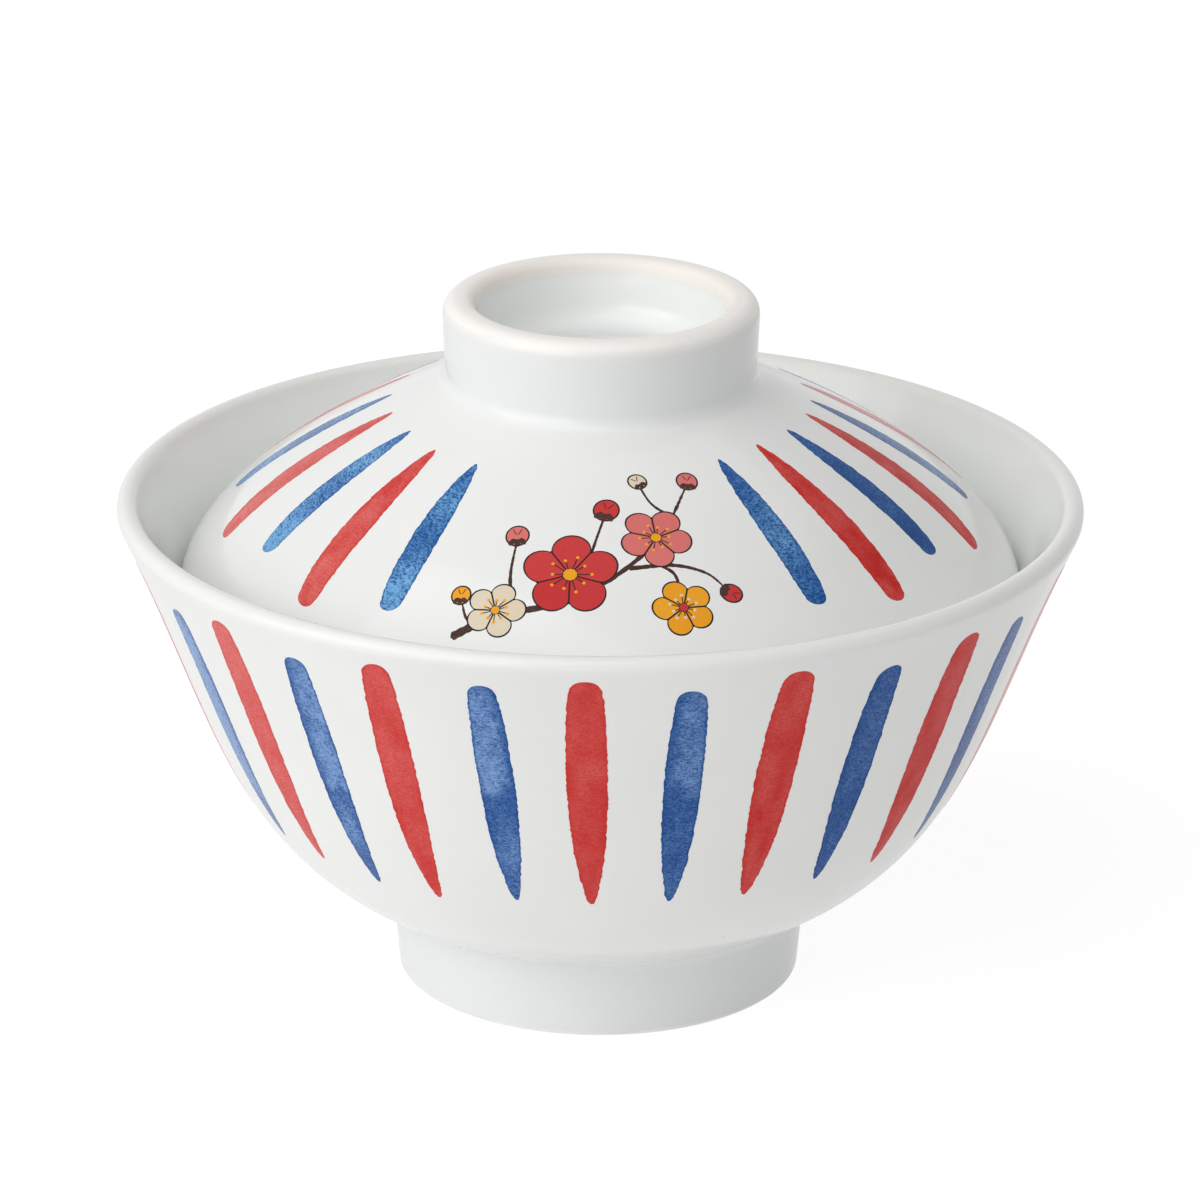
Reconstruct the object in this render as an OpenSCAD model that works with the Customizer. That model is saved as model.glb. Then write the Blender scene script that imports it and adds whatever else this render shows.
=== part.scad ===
// Donburi bowl with a domed lid that sits inside the flared rim.
// Both pieces are turned forms, drawn as one outline each and revolved about the upright axis.
// The origin is the centre of the circle that the foot ring stands on.

/* [Bowl] */
// Outer diameter of the rim
rim_d = 155; // [130:1:190]
// Height of the rim above the table
bowl_h = 81.5; // [72:0.5:110]
// Thickness of the rounded lip
lip_t = 3.5; // [2.6:0.1:5]
// Thickness of the wall where it turns into the floor
wall_t = 4.4; // [3.4:0.1:6]
// Thickness of the floor at the centre
floor_t = 5; // [4:0.1:8]
// Lean of the wall at the rim, in degrees from upright
rim_flare = 24.6; // [16:0.2:32]
// Rise of the belly where it leaves the foot ring, in degrees from level
belly_rise = 24.5; // [16:0.5:34]

/* [Foot ring] */
// Outer diameter of the foot ring where it stands
foot_d = 65.2; // [54:0.2:76]
// Height of the foot ring up to the belly
foot_h = 13; // [9:0.5:18]
// Thickness of the foot ring where it stands
foot_t = 5; // [4:0.1:8]
// How much the foot ring's radius grows from its base to the belly
foot_taper = 1.1; // [0:0.1:3]
// Depth of the recess inside the foot ring
recess_h = 9.5; // [5:0.5:12]
// Rounding between the foot ring and the belly
foot_fillet = 4; // [2:0.5:6]
// Rounding of the foot ring's two standing edges
foot_edge = 1.1; // [0.5:0.1:1.8]

/* [Lid] */
// Largest diameter of the lid, near its edge
lid_d = 135.2; // [126:0.2:140]
// Height of the dome from the lid's widest line to the base of the knob ring
dome_h = 34.2; // [24:0.1:44]
// Thickness of the lid's rounded edge
lid_edge_t = 3.4; // [2.6:0.1:4.6]
// Thickness of the dome beside the knob ring
dome_t = 4.2; // [3.2:0.1:5.5]
// Fall of the dome where it leaves the knob ring, in degrees from level
dome_fall = 24.6; // [16:0.2:32]

/* [Knob ring] */
// Outer diameter of the knob ring at its base
knob_d = 49.7; // [40:0.1:60]
// Height of the knob ring above the base line of the dome
knob_h = 13.5; // [9:0.1:20]
// Thickness of the knob ring at its top
knob_t = 4.9; // [4.4:0.1:7]
// How much the knob ring's radius grows from its base to its top
knob_flare = 0.5; // [0:0.05:2]
// Depth of the well inside the knob ring, measured at its wall
well_h = 11.2; // [6:0.2:12]
// How far the well's wall leans in towards its floor
well_lean = 2.4; // [0:0.1:3]
// Rounding between the knob ring and the dome
knob_fillet = 2.8; // [1:0.1:4]
// Rounding of the knob ring's outer top edge
knob_edge = 2.5; // [1:0.1:2.8]

/* [Fit] */
// Gap between the lid's edge and the bowl's inner wall that carries it
seat_gap = 0.3; // [0.2:0.05:0.6]

/* [Hidden] */
$fn = 180;

// Steps of each curve: long walls, floors and rounded corners
wall_steps = 30;
floor_steps = 12;
corner_steps = 7;
lip_steps = 14;

// Pull of the curves' handles, as shares of the distance that each curve spans
belly_low_share = 0.371;
belly_high_share = 0.426;
dome_top_share = 0.789;
dome_edge_share = 0.067;
// Place on the belly's curve, counted from the foot ring, where the inside turns into the floor
floor_turn_share = 0.24;
// Lowest place on the belly's curve that may carry the lid
seat_low_share = 0.3;
// Rounding inside the foot ring as a share of the recess's depth
recess_round_share = 0.35;
// Share of the knob ring's top, left by its outer rounding, that the inner rounding takes
knob_in_share = 0.75;
// Rounding at the well's floor and swell of that floor, as shares of the well's depth
well_round_share = 0.42;
well_swell_share = 0.08;

// Bowl sizes that follow from those above
rim_r = rim_d / 2;
lip_r = lip_t / 2;
foot_r = foot_d / 2;
foot_in_r = foot_r - foot_t;
floor_z = recess_h + floor_t;
lip_centre = [rim_r - lip_r, bowl_h - lip_r];
foot_corner = [foot_r + foot_taper, foot_h];

// Lid sizes, with height counted from its widest line
lid_r = lid_d / 2;
edge_r = lid_edge_t / 2;
edge_centre = [lid_r - edge_r, 0];
knob_corner = [knob_d / 2, dome_h];
knob_top_z = dome_h + knob_h;
knob_out = [knob_corner.x + knob_flare, knob_top_z];
knob_in = [knob_out.x - knob_t, knob_top_z];
knob_in_edge = (knob_t - knob_edge) * knob_in_share;
well_corner = [knob_in.x - well_lean, knob_top_z - well_h];
well_centre_z = well_corner.y + well_h * well_swell_share;

// Curves
function unit(v) = v / norm(v);
function polar(a) = [cos(a), sin(a)];
function left_of(v) = [-v.y, v.x];

// Arc of radius r about c, from angle a to angle b
function arc(c, r, a, b, steps) = [for (i = [0:steps]) c + r * polar(a + (b - a) * i / steps)];

// Arc of radius r that rounds the corner q between the points p and s
function corner(p, q, s, r) =
    let (u = unit(p - q), v = unit(s - q))
    let (half = acos(u * v) / 2)
    let (c = q + unit(u + v) * r / sin(half))
    let (first = q + u * r / tan(half) - c, last = q + v * r / tan(half) - c)
    let (a = atan2(first.y, first.x), turn = atan2(last.y, last.x) - a)
    arc(c, r, a, a + turn - 360 * round(turn / 360), corner_steps);

// Curve with two handles: its point and its direction at the share t
function curve_at(k, t) =
    pow(1 - t, 3) * k[0] + 3 * pow(1 - t, 2) * t * k[1] + 3 * (1 - t) * pow(t, 2) * k[2] + pow(t, 3) * k[3];
function curve_dir(k, t) =
    unit(pow(1 - t, 2) * (k[1] - k[0]) + 2 * (1 - t) * t * (k[2] - k[1]) + pow(t, 2) * (k[3] - k[2]));

// Point beside such a curve, on its left, at the distance d
function beside(k, t, d) = curve_at(k, t) + d * left_of(curve_dir(k, t));

// Curve with one handle
function bend_at(p, q, s, t) = pow(1 - t, 2) * p + 2 * (1 - t) * t * q + pow(t, 2) * s;

// Point at height z on the line through p along v
function level_at(p, v, z) = p + v * (z - p.y) / v.y;

// Curve from p to s that leaves p along u, arrives at s along v, with handles of the given shares
function handles(p, u, low, s, v, high) =
    let (span = norm(s - p))
    [p, p + u * low * span, s - v * high * span, s];

// The list without its first or last point
function tail(list) = [for (i = [1:len(list) - 1]) list[i]];

// Bowl: the belly's curve from the foot ring's rounding up to the lip
belly_start_dir = polar(belly_rise);
belly_end_dir = polar(90 - rim_flare);
foot_blend = corner([foot_r, 0], foot_corner, foot_corner + belly_start_dir, foot_fillet);
belly = handles(
    foot_blend[corner_steps], belly_start_dir, belly_low_share,
    lip_centre + lip_r * polar(-rim_flare), belly_end_dir, belly_high_share
);

// Thickness of the wall at the share t of the belly's curve
function bowl_wall(t) = wall_t + (lip_t - wall_t) * t;

module bowl_outline() {
    recess_corner = [foot_in_r - foot_taper / 2, recess_h];
    inner_turn = beside(belly, floor_turn_share, bowl_wall(floor_turn_share));
    floor_handle = level_at(inner_turn, curve_dir(belly, floor_turn_share), floor_z);
    polygon(concat(
        [[0, recess_h]],
        corner([0, recess_h], recess_corner, [foot_in_r, 0], recess_h * recess_round_share),
        corner(recess_corner, [foot_in_r, 0], [foot_r, 0], foot_edge),
        corner([foot_in_r, 0], [foot_r, 0], foot_corner, foot_edge),
        foot_blend,
        [for (i = [1:wall_steps]) curve_at(belly, i / wall_steps)],
        tail(arc(lip_centre, lip_r, -rim_flare, 180 - rim_flare, lip_steps)),
        [for (i = [1:wall_steps])
            let (t = 1 - (1 - floor_turn_share) * i / wall_steps)
            beside(belly, t, bowl_wall(t))],
        [for (i = [1:floor_steps])
            bend_at(inner_turn, floor_handle, [0, floor_z], i / floor_steps)]
    ));
}

module bowl() {
    color("#eef2f0")
        rotate_extrude()
            bowl_outline();
}

// Lid: the dome's curve from the knob ring's rounding down to the lid's edge
dome_start_dir = polar(-dome_fall);
knob_blend = corner(knob_out, knob_corner, knob_corner + dome_start_dir, knob_fillet);
dome = handles(
    knob_blend[corner_steps], dome_start_dir, dome_top_share,
    [lid_r, 0], polar(-90), dome_edge_share
);

// Thickness of the dome at the share t of its curve
function dome_wall(t) = dome_t + (lid_edge_t - dome_t) * t;

// Height of the lid's widest line: its rounded edge rests on the inner wall with the named gap
seat_z = lookup(edge_centre.x, [
    for (i = [0:wall_steps])
        let (t = seat_low_share + (1 - seat_low_share) * i / wall_steps)
        beside(belly, t, bowl_wall(t) + edge_r + seat_gap)
]);

module lid_outline() {
    well_handle = [well_corner.x / 2, well_centre_z];
    well_blend = corner(well_handle, well_corner, knob_in, well_h * well_round_share);
    under_start = beside(dome, 0, -dome_wall(0));
    under_top_z = well_centre_z - dome_t;
    under_handle = level_at(under_start, dome_start_dir, under_top_z);
    polygon(concat(
        [for (i = [0:floor_steps]) bend_at([0, well_centre_z], well_handle, well_blend[0], i / floor_steps)],
        tail(well_blend),
        corner(well_corner, knob_in, knob_out, knob_in_edge),
        corner(knob_in, knob_out, knob_corner, knob_edge),
        knob_blend,
        [for (i = [1:wall_steps]) curve_at(dome, i / wall_steps)],
        tail(arc(edge_centre, edge_r, 0, -180, lip_steps)),
        [for (i = [1:wall_steps])
            let (t = 1 - i / wall_steps)
            beside(dome, t, -dome_wall(t))],
        [for (i = [1:floor_steps])
            bend_at(under_start, under_handle, [0, under_top_z], i / floor_steps)]
    ));
}

module lid() {
    color("#f3f5f3")
        translate([0, 0, seat_z])
            rotate_extrude()
                lid_outline();
}

bowl();
lid();
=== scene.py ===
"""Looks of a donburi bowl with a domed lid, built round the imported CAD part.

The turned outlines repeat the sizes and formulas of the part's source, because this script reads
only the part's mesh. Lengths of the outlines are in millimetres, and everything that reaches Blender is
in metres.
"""

import math

import bpy
import numpy as np
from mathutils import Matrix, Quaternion, Vector


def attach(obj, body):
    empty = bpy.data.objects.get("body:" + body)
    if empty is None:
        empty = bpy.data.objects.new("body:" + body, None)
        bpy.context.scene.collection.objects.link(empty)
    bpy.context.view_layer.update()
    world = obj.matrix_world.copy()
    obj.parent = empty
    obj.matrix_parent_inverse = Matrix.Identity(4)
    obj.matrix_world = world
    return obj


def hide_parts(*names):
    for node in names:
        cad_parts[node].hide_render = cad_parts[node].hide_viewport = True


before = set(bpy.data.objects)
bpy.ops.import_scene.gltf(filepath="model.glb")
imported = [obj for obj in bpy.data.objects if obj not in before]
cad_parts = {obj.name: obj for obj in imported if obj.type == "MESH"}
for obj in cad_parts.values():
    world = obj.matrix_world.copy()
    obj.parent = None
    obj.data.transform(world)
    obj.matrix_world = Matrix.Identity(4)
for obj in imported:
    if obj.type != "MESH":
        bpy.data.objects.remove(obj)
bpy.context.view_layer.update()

MM = 0.001
TURN = 2 * math.pi

# Outlines

RIM_R, BOWL_H, LIP_T, WALL_T, FLOOR_T = 77.5, 81.5, 3.5, 4.4, 5.0
RIM_FLARE, BELLY_RISE = 24.6, 24.5
FOOT_R, FOOT_H, FOOT_T, FOOT_TAPER, RECESS_H = 32.6, 13.0, 5.0, 1.1, 9.5
FOOT_FILLET, FOOT_EDGE = 4.0, 1.1
LID_R, DOME_H, LID_EDGE_T, DOME_T, DOME_FALL = 67.6, 34.2, 3.4, 4.2, 24.6
KNOB_R, KNOB_H, KNOB_T, KNOB_FLARE = 24.85, 13.5, 4.9, 0.5
WELL_H, WELL_LEAN, KNOB_FILLET, KNOB_EDGE, SEAT_GAP = 11.2, 2.4, 2.8, 2.5, 0.3
BELLY_LOW, BELLY_HIGH, DOME_TOP, DOME_EDGE, FLOOR_TURN = 0.371, 0.426, 0.789, 0.067, 0.24
SEAT_LOW, RECESS_ROUND, KNOB_IN, WELL_ROUND, WELL_SWELL = 0.3, 0.35, 0.75, 0.42, 0.08
WALL_STEPS, FLOOR_STEPS, CORNER_STEPS, LIP_STEPS, FLAT_STEPS = 60, 20, 10, 16, 4
# Steps round the axis, steps of the curve that seats the lid, and steps of the painted surfaces
TURN_STEPS, SEAT_STEPS, SIDE_STEPS = 240, 30, 400
# Points closer than this are one, and half the stretch over which a direction is measured
SAME_POINT, TANGENT_SHARE = 1e-6, 1e-4


def vec(x, y):
    return np.array([x, y], float)


def unit(v):
    return v / np.linalg.norm(v)


def polar(degrees):
    a = math.radians(degrees)
    return vec(math.cos(a), math.sin(a))


def arc(c, r, a, b, steps):
    """Points of an arc about c, from the angle a to the angle b in degrees."""
    return [c + r * polar(a + (b - a) * i / steps) for i in range(steps + 1)]


def corner(p, q, s, r):
    """Arc of radius r that rounds the corner q between p and s."""
    u, v = unit(p - q), unit(s - q)
    half = math.acos(u @ v) / 2
    c = q + unit(u + v) * r / math.sin(half)
    first, last = q + u * r / math.tan(half) - c, q + v * r / math.tan(half) - c
    a = math.degrees(math.atan2(first[1], first[0]))
    turn = math.degrees(math.atan2(last[1], last[0])) - a
    return arc(c, r, a, a + turn - 360 * round(turn / 360), CORNER_STEPS)


def straight(p, q):
    """Points strictly between p and q."""
    return [p + (q - p) * i / FLAT_STEPS for i in range(1, FLAT_STEPS)]


def curve_at(k, t):
    """Point at the share t of a curve; k is its start, its two handles and its end."""
    return (1 - t) ** 3 * k[0] + 3 * (1 - t) ** 2 * t * k[1] + 3 * (1 - t) * t**2 * k[2] + t**3 * k[3]


def beside(k, t, d):
    """Point at the distance d to the left of the curve k."""
    along = (1 - t) ** 2 * (k[1] - k[0]) + 2 * (1 - t) * t * (k[2] - k[1]) + t**2 * (k[3] - k[2])
    u = unit(along)
    return curve_at(k, t) + d * vec(-u[1], u[0])


def bend_at(p, q, s, t):
    """Point at the share t of a curve from p to s with the one handle q."""
    return (1 - t) ** 2 * p + 2 * (1 - t) * t * q + t**2 * s


def level_at(p, v, z):
    """Point at height z on the line through p along v."""
    return p + v * (z - p[1]) / v[1]


def handles(p, u, low, s, v, high):
    """Curve from p along u to s along v, with handles of the given shares of its span."""
    span = np.linalg.norm(s - p)
    return [p, p + u * low * span, s - v * high * span, s]


def join(*lists):
    """One list of points, with straight runs between the lists divided up."""
    out = []
    for part in lists:
        if out and np.linalg.norm(part[0] - out[-1]) > SAME_POINT:
            out += straight(out[-1], part[0])
        out += [p for p in part if not out or np.linalg.norm(p - out[-1]) > SAME_POINT]
    return np.array(out)


def shares(steps):
    """Even shares from 0 to 1."""
    return [i / steps for i in range(steps + 1)]


lip_r = LIP_T / 2
foot_in_r = FOOT_R - FOOT_T
floor_z = RECESS_H + FLOOR_T
lip_centre = vec(RIM_R - lip_r, BOWL_H - lip_r)
foot_corner = vec(FOOT_R + FOOT_TAPER, FOOT_H)
belly_dir = polar(BELLY_RISE)
foot_blend = corner(vec(FOOT_R, 0), foot_corner, foot_corner + belly_dir, FOOT_FILLET)
belly = handles(foot_blend[-1], belly_dir, BELLY_LOW,
                lip_centre + lip_r * polar(-RIM_FLARE), polar(90 - RIM_FLARE), BELLY_HIGH)


def bowl_wall(t):
    """Thickness of the wall at the share t of the belly's curve."""
    return WALL_T + (LIP_T - WALL_T) * t


def bowl_outline():
    recess_corner = vec(foot_in_r - FOOT_TAPER / 2, RECESS_H)
    turn = beside(belly, FLOOR_TURN, bowl_wall(FLOOR_TURN))
    before, after = (beside(belly, FLOOR_TURN + d, 0) for d in (-TANGENT_SHARE, TANGENT_SHARE))
    floor_handle = level_at(turn, unit(after - before), floor_z)
    inner = [1 - (1 - FLOOR_TURN) * t for t in shares(WALL_STEPS)]
    return join(
        [vec(0, RECESS_H)],
        corner(vec(0, RECESS_H), recess_corner, vec(foot_in_r, 0), RECESS_H * RECESS_ROUND),
        corner(recess_corner, vec(foot_in_r, 0), vec(FOOT_R, 0), FOOT_EDGE),
        corner(vec(foot_in_r, 0), vec(FOOT_R, 0), foot_corner, FOOT_EDGE),
        foot_blend,
        [curve_at(belly, t) for t in shares(WALL_STEPS)],
        arc(lip_centre, lip_r, -RIM_FLARE, 180 - RIM_FLARE, LIP_STEPS),
        [beside(belly, t, bowl_wall(t)) for t in inner],
        [bend_at(turn, floor_handle, vec(0, floor_z), t) for t in shares(FLOOR_STEPS)],
    )


edge_r = LID_EDGE_T / 2
edge_centre = vec(LID_R - edge_r, 0)
knob_corner = vec(KNOB_R, DOME_H)
knob_top_z = DOME_H + KNOB_H
knob_out = vec(KNOB_R + KNOB_FLARE, knob_top_z)
knob_in = vec(knob_out[0] - KNOB_T, knob_top_z)
well_corner = vec(knob_in[0] - WELL_LEAN, knob_top_z - WELL_H)
well_centre_z = well_corner[1] + WELL_H * WELL_SWELL
dome_dir = polar(-DOME_FALL)
knob_blend = corner(knob_out, knob_corner, knob_corner + dome_dir, KNOB_FILLET)
dome = handles(knob_blend[-1], dome_dir, DOME_TOP, vec(LID_R, 0), polar(-90), DOME_EDGE)


def dome_wall(t):
    """Thickness of the dome at the share t of its curve."""
    return DOME_T + (LID_EDGE_T - DOME_T) * t


# Height of the lid's widest line: its rounded edge rests on the inner wall with the seat's gap
seat_curve = np.array([
    beside(belly, t, bowl_wall(t) + edge_r + SEAT_GAP)
    for t in (SEAT_LOW + (1 - SEAT_LOW) * i for i in shares(SEAT_STEPS))
])
seat_z = float(np.interp(edge_centre[0], seat_curve[:, 0], seat_curve[:, 1]))


def lid_outline():
    well_handle = vec(well_corner[0] / 2, well_centre_z)
    well_blend = corner(well_handle, well_corner, knob_in, WELL_H * WELL_ROUND)
    under_start = beside(dome, 0, -dome_wall(0))
    under_top_z = well_centre_z - DOME_T
    under_handle = level_at(under_start, dome_dir, under_top_z)
    points = join(
        [bend_at(vec(0, well_centre_z), well_handle, well_blend[0], t) for t in shares(FLOOR_STEPS)],
        well_blend,
        corner(well_corner, knob_in, knob_out, (KNOB_T - KNOB_EDGE) * KNOB_IN),
        corner(knob_in, knob_out, knob_corner, KNOB_EDGE),
        knob_blend,
        [curve_at(dome, t) for t in shares(WALL_STEPS)],
        arc(edge_centre, edge_r, 0, -180, LIP_STEPS),
        [beside(dome, 1 - t, -dome_wall(1 - t)) for t in shares(WALL_STEPS)],
        [bend_at(under_start, under_handle, vec(0, under_top_z), t) for t in shares(FLOOR_STEPS)],
    )
    points[:, 1] += seat_z
    return points


# Meshes


def add_object(name, data):
    obj = bpy.data.objects.new(name, data)
    bpy.context.scene.collection.objects.link(obj)
    return obj


def make_mesh(name, verts, faces, materials, face_materials=None, attributes=None, sharp=None):
    mesh = bpy.data.meshes.new(name)
    mesh.from_pydata([tuple(v) for v in verts], [], faces)
    for m in materials:
        mesh.materials.append(m)
    if face_materials is not None:
        mesh.polygons.foreach_set("material_index", face_materials)
    mesh.polygons.foreach_set("use_smooth", [True] * len(mesh.polygons))
    for key, values in (attributes or {}).items():
        mesh.attributes.new(key, "FLOAT", "POINT").data.foreach_set("value", np.array(values, np.float32))
    mesh.update()
    if sharp is not None:
        mesh.set_sharp_from_angle(angle=math.radians(sharp))
    return add_object(name, mesh)


def lathe(name, outline, material, clockwise=False, attributes=None):
    """Turns an outline that starts and ends on the axis and runs counterclockwise unless clockwise is set.

    The attributes have one value for each point of the outline.
    """
    ring = np.radians(np.arange(TURN_STEPS) * 360 / TURN_STEPS)
    around = np.stack([np.sin(ring), -np.cos(ring)], 1)
    inner = outline[1:-1] * MM
    verts = [(0, 0, outline[0][1] * MM)]
    for r, z in inner:
        verts += [(r * x, r * y, z) for x, y in around]
    verts.append((0, 0, outline[-1][1] * MM))
    last = len(verts) - 1
    faces = []
    for j in range(TURN_STEPS):
        k = (j + 1) % TURN_STEPS
        faces.append((0, 1 + k, 1 + j))
        for i in range(len(inner) - 1):
            a, b = 1 + i * TURN_STEPS, 1 + (i + 1) * TURN_STEPS
            faces.append((a + j, a + k, b + k, b + j))
        a = 1 + (len(inner) - 1) * TURN_STEPS
        faces.append((a + j, a + k, last))
    if clockwise:
        faces = [f[::-1] for f in faces]
    turned = {key: [v[0], *np.repeat(v[1:-1], TURN_STEPS), v[-1]] for key, v in (attributes or {}).items()}
    return make_mesh(name, verts, faces, [material], attributes=turned)


class Surface:
    """The outside of a turned wall.

    The distance along it, the azimuth from the front and the height above it give a point.
    """

    def __init__(self, points, outward_right):
        self.p = np.array(points) * MM
        d = np.diff(self.p, axis=0)
        self.s = np.r_[0, np.cumsum(np.hypot(d[:, 0], d[:, 1]))]
        t = np.gradient(self.p, self.s, axis=0)
        t /= np.linalg.norm(t, axis=1)[:, None]
        side = 1 if outward_right else -1
        self.n = np.stack([t[:, 1], -t[:, 0]], 1) * side

    def radius(self, s):
        return np.interp(s, self.s, self.p[:, 0])

    def at_height(self, z):
        return np.interp(z * MM, self.p[:, 1], self.s)

    def at_radius(self, r):
        return np.interp(r * MM, self.p[:, 0], self.s)

    def place(self, s, phi, height):
        s, phi = np.broadcast_arrays(np.asarray(s, float), np.asarray(phi, float))
        r = self.radius(s) + height * np.interp(s, self.s, self.n[:, 0])
        z = np.interp(s, self.s, self.p[:, 1]) + height * np.interp(s, self.s, self.n[:, 1])
        return np.stack([r * np.sin(phi), -r * np.cos(phi), z], -1)


# How far a patch reaches into the glaze, and the angle in degrees from which its edges are sharp
PAINT_SINK = 0.05 * MM
PAINT_SHARP = 35
# Each patch takes its grain from another place: the step for each point so far, and where it starts again
GRAIN_STEP, GRAIN_SPAN = 37.0, 911


class Paint:
    """Thin closed patches of colour on a turned surface, gathered into one piece."""

    def __init__(self, surface):
        self.surface = surface
        self.verts, self.faces, self.mats, self.tone, self.grain = [], [], [], [], []

    def _add(self, verts, tones, grains=None):
        """Adds points. Tones say how thin the colour is; grains are millimetres across and along strokes."""
        start = len(self.verts)
        grains = grains or [(x / MM, z / MM) for x, _, z in verts]
        self.verts += [tuple(v) for v in verts]
        self.tone += list(tones)
        self.grain += [(a, b, 0.0) for a, b in grains]
        return start

    def _patch(self, faces, s, phi, mat):
        """Keeps the faces of a closed patch, turned outward; the first one is on top near s and phi."""
        a, b, c = (Vector(self.verts[i]) for i in faces[0][:3])
        low, high = (Vector(self.surface.place(s, phi, h)) for h in (0, MM))
        if (b - a).cross(c - a).dot(high - low) < 0:
            faces = [f[::-1] for f in faces]
        self.faces += faces
        self.mats += [mat] * len(faces)

    def strip(self, s, phi, tone, height, mat=0):
        """s, phi and tone have one row for each cross-section; the first and last rows close to a point."""
        rows, cols = s.shape
        top = self.surface.place(s, phi, height)
        low = self.surface.place(s[:, [-1, 0]], phi[:, [-1, 0]], -PAINT_SINK)
        shift = GRAIN_STEP * len(self.verts) % GRAIN_SPAN
        across, along = phi * self.surface.radius(s) / MM + shift, s / MM
        around = list(range(cols)) + [cols - 1, 0]
        rings = []
        for i in range(1, rows - 1):
            grains = [(across[i][j], along[i][j]) for j in around]
            rings.append(self._add(list(top[i]) + list(low[i]), [tone[i][j] for j in around], grains))
        n = cols + 2
        tips = [
            self._add([top[i].mean(0)], [tone[i].mean()], [(across[i].mean(), along[i].mean())])
            for i in (0, rows - 1)
        ]
        faces = []
        for a, b in zip(rings, rings[1:]):
            faces += [(a + j, a + (j + 1) % n, b + (j + 1) % n, b + j) for j in range(n)]
        faces += [(tips[0], rings[0] + (j + 1) % n, rings[0] + j) for j in range(n)]
        faces += [(tips[1], rings[-1] + j, rings[-1] + (j + 1) % n) for j in range(n)]
        self._patch(faces, s[1][0], phi[1][0], mat)

    def blob(self, s0, phi0, x, y, height, mat, tone=0.5, rings=3):
        """A patch with the outline x, y: metres to the right and up the slope, all seen from its middle."""
        cx, cy = x.mean(), y.mean()
        n = len(x)

        def put(f, h):
            s = s0 - (cy + (y - cy) * f)
            return self.surface.place(s, phi0 + (cx + (x - cx) * f) / self.surface.radius(s), h)

        centre = self._add([put(0, height)[0]], [tone])
        loops = [self._add(put((i + 1) / rings, height), [tone] * n) for i in range(rings)]
        loops.append(self._add(put(1, -PAINT_SINK), [tone] * n))
        base = self._add([put(0, -PAINT_SINK)[0]], [tone])
        faces = [(centre, loops[0] + j, loops[0] + (j + 1) % n) for j in range(n)]
        for a, b in zip(loops, loops[1:]):
            faces += [(a + j, b + j, b + (j + 1) % n, a + (j + 1) % n) for j in range(n)]
        faces += [(base, loops[-1] + (j + 1) % n, loops[-1] + j) for j in range(n)]
        self._patch(faces, s0, phi0, mat)

    def build(self, name, materials, body):
        tones = {"tone": self.tone}
        obj = make_mesh(name, self.verts, self.faces, materials, self.mats, tones, PAINT_SHARP)
        grain = obj.data.attributes.new("grain", "FLOAT_VECTOR", "POINT")
        grain.data.foreach_set("vector", np.array(self.grain, np.float32).ravel())
        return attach(obj, body)


def rough_line(rng, lengths, wave, depth):
    """A wavering offset for each place along an edge, with a knot at each wave."""
    knots = np.arange(lengths.min() - wave, lengths.max() + 2 * wave, wave)
    return np.interp(lengths, knots, rng.uniform(-depth, depth, len(knots)))


def cloud(rng, x, y, cells_x, cells_y):
    """Smooth random field over x and y, both from 0 to 1."""
    grid = rng.uniform(0, 1, (cells_x + 2, cells_y + 2))
    fx, fy = x * cells_x, y * cells_y
    ix, iy = np.floor(fx).astype(int), np.floor(fy).astype(int)
    tx, ty = fx - ix, fy - iy
    tx, ty = tx * tx * (3 - 2 * tx), ty * ty * (3 - 2 * ty)
    low = grid[ix, iy] * (1 - tx) + grid[ix + 1, iy] * tx
    high = grid[ix, iy + 1] * (1 - tx) + grid[ix + 1, iy + 1] * tx
    return low * (1 - ty) + high * ty


# Materials


def empty_tree(block):
    """The node tree of a material or world, without its first nodes."""
    block.use_nodes = True
    block.node_tree.nodes.clear()
    return block.node_tree


def plug(nt, n, inputs):
    """Links or sets inputs of the node n."""
    for key, value in inputs.items():
        if isinstance(value, bpy.types.NodeSocket):
            nt.links.new(value, n.inputs[key])
        else:
            n.inputs[key].default_value = value


def node(nt, kind, inputs=None, **settings):
    n = nt.nodes.new(kind)
    for key, value in settings.items():
        setattr(n, key, value)
    plug(nt, n, inputs or {})
    return n


def nodes_of(name):
    """A new material, its node tree and its shader."""
    mat = bpy.data.materials.new(name)
    nt = empty_tree(mat)
    shader = node(nt, "ShaderNodeBsdfPrincipled")
    node(nt, "ShaderNodeOutputMaterial", {"Surface": shader.outputs["BSDF"]})
    return mat, nt, shader


def math_node(nt, operation, a, b=0.0, clamp=False):
    return node(nt, "ShaderNodeMath", {0: a, 1: b}, operation=operation, use_clamp=clamp).outputs[0]


def ramp(nt, value, low, high, to_low=0.0, to_high=1.0):
    n = node(nt, "ShaderNodeMapRange", {"Value": value, "From Min": low, "From Max": high,
                                        "To Min": to_low, "To Max": to_high}, interpolation_type="SMOOTHSTEP")
    return n.outputs["Result"]


def mix_colour(nt, factor, a, b):
    """From colour a to colour b, each a socket or a tuple."""
    colours = [c if isinstance(c, bpy.types.NodeSocket) else (*c, 1.0) for c in (a, b)]
    return node(nt, "ShaderNodeMix", {0: factor, 6: colours[0], 7: colours[1]}, data_type="RGBA").outputs[2]


def noise(nt, coords, scale, detail=2.0, roughness=0.5, distortion=0.0):
    n = node(nt, "ShaderNodeTexNoise", {"Vector": coords, "Scale": scale, "Detail": detail,
                                        "Roughness": roughness, "Distortion": distortion})
    return n.outputs["Fac"]
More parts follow.
